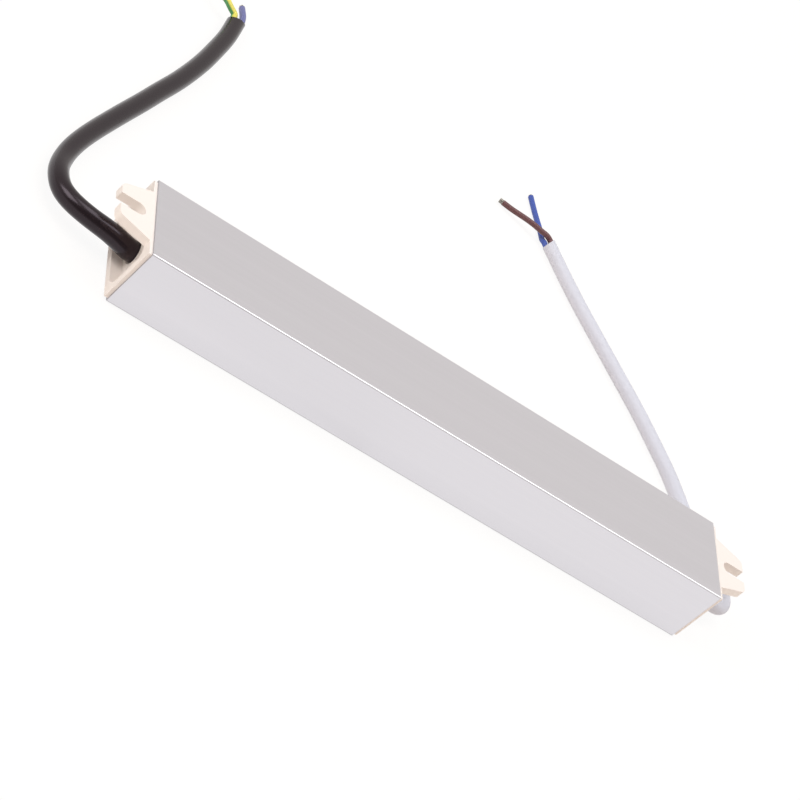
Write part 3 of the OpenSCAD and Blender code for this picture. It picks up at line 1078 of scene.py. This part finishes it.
@dataclass
class Lamp:
    """A soft lamp that faces the driver, with its size along the driver and across it."""

    name: str
    place: Point
    size: tuple[float, float]
    power: float
    color: Rgb = (1, 1, 1)

    def build(self) -> None:
        """Adds the lamp."""
        data = bpy.data.lights.new(self.name, "AREA")
        data.shape = "RECTANGLE"
        data.size, data.size_y = self.size
        data.energy = self.power
        data.color = self.color
        made = bpy.data.objects.new(self.name, data)
        back = Vector(self.place).normalized()
        along = (Vector((1, 0, 0)) - back.x * back).normalized()
        turn = Matrix((along, back.cross(along), back)).transposed()
        made.matrix_world = Matrix.Translation(self.place) @ turn.to_4x4()
        bpy.context.scene.collection.objects.link(made)


@dataclass
class Studio:
    """A pale floor, a white surround and soft lamps.

    The surround gives a fill light that is stronger from the camera's side. Polished surfaces mirror it
    in a grey that is darker behind the camera. The spans say where that darker part ends: away from the
    camera, towards the floor and along the tube.
    """

    floor_size: float = 8.0
    floor_drop: float = 0.0002
    floor_color: Rgb = (0.94, 0.87, 0.81)
    floor_glow: float = 1.03
    shadow_share: float = 0.12
    surround: tuple[float, float] = (0.26, 0.64)
    fill_color: Rgb = (1, 0.88, 0.8)
    mirrored: Rgb = (0.76, 0.735, 0.71)
    behind_camera: Rgb = (0.26, 0.24, 0.24)
    far_span: tuple[float, float] = (-0.55, 0.05)
    low_span: tuple[float, float] = (0.3, 0.0)
    beside_span: tuple[float, float] = (0.15, 0.4)
    lamps: list[Lamp] = field(default_factory=lambda: [
        Lamp("overhead_lamp", (0.3, 0.2, 1.7), (2.1, 1.1), 18.2, (0.98, 1.0, 1.01)),
        Lamp("left_lamp", (-1.15, 0.05, 0.95), (0.7, 0.8), 6.6),
    ])

    def build(self) -> None:
        """Adds the floor, the surround and the lamps."""
        self._floor()
        self._surround()
        for lamp in self.lamps:
            lamp.build()
        bpy.context.scene.view_settings.view_transform = "Standard"

    def _seen(self, graph: Graph) -> bpy.types.NodeSocket:
        """Adds a test for rays that show the background, seen or mirrored.

        Args:
            graph: The nodes to add it to.

        Returns:
            A socket that is 1 on such a ray.
        """
        rays = graph.add("ShaderNodeLightPath")
        first = graph.math("MAXIMUM", rays.outputs["Is Camera Ray"], rays.outputs["Is Glossy Ray"])
        return graph.math("MAXIMUM", first, rays.outputs["Is Transmission Ray"])

    def _floor(self) -> None:
        """Adds a white floor that keeps a faint shadow of the driver."""
        bm = bmesh.new()
        bmesh.ops.create_grid(bm, x_segments=1, y_segments=1, size=self.floor_size / 2)
        mesh = bpy.data.meshes.new("floor")
        bm.to_mesh(mesh)
        bm.free()
        material = bpy.data.materials.new("white_floor")
        material.use_nodes = True
        graph = Graph(material.node_tree)
        output = graph.add("ShaderNodeOutputMaterial")
        lit = graph.add("ShaderNodeBsdfDiffuse", values={"Color": (*self.floor_color, 1)})
        white = graph.add("ShaderNodeEmission", values={
            "Color": (1, 1, 1, 1), "Strength": self.floor_glow,
        })
        share = graph.math("MULTIPLY", self._seen(graph), 1 - self.shadow_share)
        both = graph.blend(share, lit.outputs[0], white.outputs[0])
        graph.join(both, output.inputs["Surface"])
        mesh.materials.append(material)
        floor = new_object("floor", mesh)
        floor.location.z = -self.floor_drop

    def _surround(self) -> None:
        """Makes the world white to the camera, weaker as a light, and grey in mirrors."""
        world = bpy.data.worlds.new("studio")
        world.use_nodes = True
        graph = Graph(world.node_tree)
        output = graph.add("ShaderNodeOutputWorld")
        light = graph.add("ShaderNodeBackground", values={"Color": (*self.fill_color, 1)})
        mirror = graph.add("ShaderNodeBackground", values={"Strength": 1.0})
        way = graph.add("ShaderNodeTexCoord")
        split = graph.add("ShaderNodeSeparateXYZ")
        graph.join(way.outputs["Generated"], split.inputs[0])
        far = graph.ramp(split.outputs["Y"], self.far_span, smooth=True)
        low = graph.ramp(split.outputs["Z"], self.low_span, smooth=True)
        beside = graph.ramp(split.outputs["X"], self.beside_span, smooth=True)
        bright = graph.math("MAXIMUM", graph.math("MAXIMUM", far, low), beside)
        graph.join(graph.mix(bright, self.behind_camera, self.mirrored), mirror.inputs["Color"])
        fill = graph.ramp(split.outputs["Y"], (1.0, -1.0), self.surround)
        graph.join(fill, light.inputs["Strength"])
        seen = graph.add("ShaderNodeBackground", values={"Color": (1, 1, 1, 1), "Strength": 1.0})
        rays = graph.add("ShaderNodeLightPath")
        glossy = graph.math(
            "MAXIMUM", rays.outputs["Is Glossy Ray"], rays.outputs["Is Transmission Ray"])
        unseen = graph.blend(glossy, light.outputs[0], mirror.outputs[0])
        whole = graph.blend(rays.outputs["Is Camera Ray"], unseen, seen.outputs[0])
        graph.join(whole, output.inputs["Surface"])
        bpy.context.scene.world = world


# The driver


def mains_lead() -> Lead:
    """Gives the black mains lead with its three cores.

    Returns:
        The lead, with its route as in the part's source.
    """
    return Lead(
        "mains_lead", MAINS_JACKET, 5.8, -1,
        [
            (-7.5, 0, None), (0, 0, None), (1, 0, None), (4, 0.8, 4.2), (8, 2.1, 4.2), (12, 3.2, 3.9),
            (16, 4.8, 3.4), (19.5, 7.2, 2.7), (22, 10.5, 2), (23.1, 14.8, 1.4), (23.1, 19, 0.8),
            (22.1, 24, 0.2), (20.3, 29.5, 0), (17.5, 35.8, 0), (13.7, 42.9, 0), (8.6, 51.6, 0),
            (3.4, 60.2, 0), (-1.8, 68.7, 0), (-6.9, 77.3, 0), (-12.1, 85.9, 0), (-16.9, 94.6, 0),
            (-21.4, 103.6, 0), (-25.4, 112.7, 0), (-29.1, 122, 0), (-31.9, 131.1, 0),
        ],
        [
            Core("mains_live_core", BROWN_CORE, 2.0, [
                (0, 0.2, 1.5), (1, 0.2, 1.5), (2.2, 0.6, 1.3), (3.4, 1.1, 1.2),
            ], (0, -1.2, 0)),
            Core("mains_neutral_core", PALE_BLUE_CORE, 2.0, [
                (0, -1.4, 3.2), (1, -1.4, 3.2), (3.6, -0.9, 3.4), (6.3, 0, 3.2), (9.1, 0.9, 2.8),
            ], (1.1, 0.7, 4), bare=0.8),
            Core("mains_earth_core", EARTH_CORE, 2.0, [
                (0, 1.6, 3.6), (1, 1.6, 3.6), (1.7, 3.8, 4.3), (2.3, 5.8, 4.9), (3.7, 8.6, 4.6),
                (6.5, 11.5, 3.2), (10, 14.5, 1.6),
            ], (-1.1, 0.7, -4)),
        ],
        "medium", slant=(0.38, 0.75), girth=[(0, 1.06), (6, 1.04), (14, 0.99), (60, 0.98), (400, 0.96)])


def output_lead() -> Lead:
    """Gives the white output lead with its two cores.

    Returns:
        The lead, with its route as in the part's source.
    """
    return Lead(
        "output_lead", OUTPUT_JACKET, 4.7, 1,
        [
            (-7.5, 0, None), (0, 0, None), (8, 0, None), (13.5, 0, 3.9), (17.2, 0.8, 3.5),
            (19.2, 3.4, 3.3), (19.6, 7.5, 3), (18.9, 12.5, 2.6), (17.3, 18, 1.7), (15.3, 23, 1),
            (13.2, 28, 0.4), (11.3, 33, 0.1), (9.4, 39, 0), (7, 45.4, 0), (4.4, 51.6, 0),
            (1.3, 57.5, 0), (-5.4, 69.2, 0), (-12.6, 80.1, 0), (-20, 91.1, 0), (-27.4, 102.2, 0),
            (-34.4, 114.1, 0), (-39.3, 123.3, 0),
        ],
        [
            Core("output_plus_core", BROWN_CORE, 1.8, [
                (0, -0.7, 2.95), (0.8, -0.7, 2.95), (2.1, 0.3, 3.4), (3.6, 1.9, 3.4), (5.4, 3.3, 3.2),
                (7.4, 5, 2.9), (10, 7.4, 2.3), (12.6, 9.7, 1.6), (16.1, 12.6, 1),
            ], (0.95, 0, 3), bare=1.3),
            Core("output_minus_core", BLUE_CORE, 1.8, [
                (0, 0.8, 1.6), (0.8, 0.8, 1.6), (2.4, 0.3, 1.1), (4, -0.3, 0.95), (6.3, -1.1, 0.95),
                (10, -2, 0.95), (14, -3, 0.95), (20.6, -5, 0.95),
            ], (-0.95, 0, -3)),
        ],
        "limp", slant=(0.46, 0.08), girth=[(0, 1.0), (40, 1.0), (150, 0.94)])


def main() -> None:
    """Builds the driver and its studio."""
    logging.basicConfig(level=logging.INFO, format="%(message)s")
    PhotoCamera().build()
    sweep = Sweep()
    bundle = StrandBundle()
    for lead in (mains_lead(), output_lead()):
        lead.build(sweep, bundle)
    Tube().build()
    for node in ("input_end_cap", "output_end_cap"):
        EndCap(node).build()
    InnerParts().dress()
    Studio().build()


if __name__ == "__main__":
    main()
